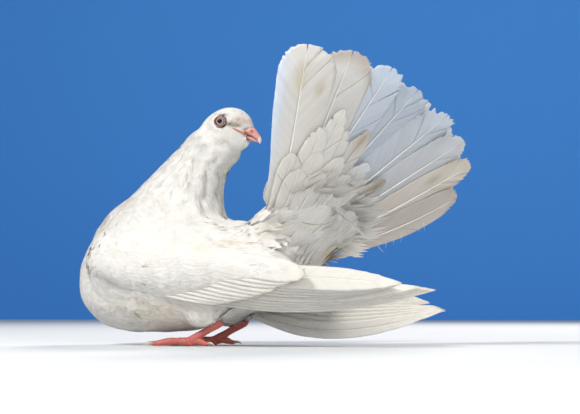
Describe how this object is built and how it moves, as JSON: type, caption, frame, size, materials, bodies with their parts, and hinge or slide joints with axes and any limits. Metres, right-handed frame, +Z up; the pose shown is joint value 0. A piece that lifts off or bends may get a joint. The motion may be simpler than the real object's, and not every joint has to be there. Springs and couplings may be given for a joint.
{
  "type": "fantail pigeon, still life-size model",
  "caption": "White fantail pigeon crouched with its tail fanned upright and its head turned to look back over the tail.",
  "frame": {"origin": "on the floor, under the middle of the bird's bounding box", "axes": "+Z up; the breast points to -X and the tail to +X; the bird's left wing is on -Y"},
  "size_m": [0.2602, 0.1828, 0.1742],
  "materials": {
    "plumage": "soft matt white feathers, cream at the roots of the tail",
    "bill": "smooth waxy pink horn with a pale tip",
    "eye": "wet and glossy, dark pupil in a dull pink ring",
    "leg_skin": "dry scaly red-pink skin",
    "claw_horn": "smooth pale horn"
  },
  "bodies": {
    "root": {"head": "plumage", "neck": "plumage", "torso": "plumage", "tail": "plumage", "wing_left": "plumage", "wing_right": "plumage", "thigh_left": "plumage", "thigh_right": "plumage", "beak_upper": "bill", "beak_lower": "bill", "eye_left": "eye", "eye_right": "eye", "leg_left": "leg_skin", "leg_right": "leg_skin", "claw_left_1": "claw_horn", "claw_left_2": "claw_horn", "claw_left_3": "claw_horn", "claw_left_4": "claw_horn", "claw_right_1": "claw_horn", "claw_right_2": "claw_horn", "claw_right_3": "claw_horn", "claw_right_4": "claw_horn"}
  },
  "joints": []
}
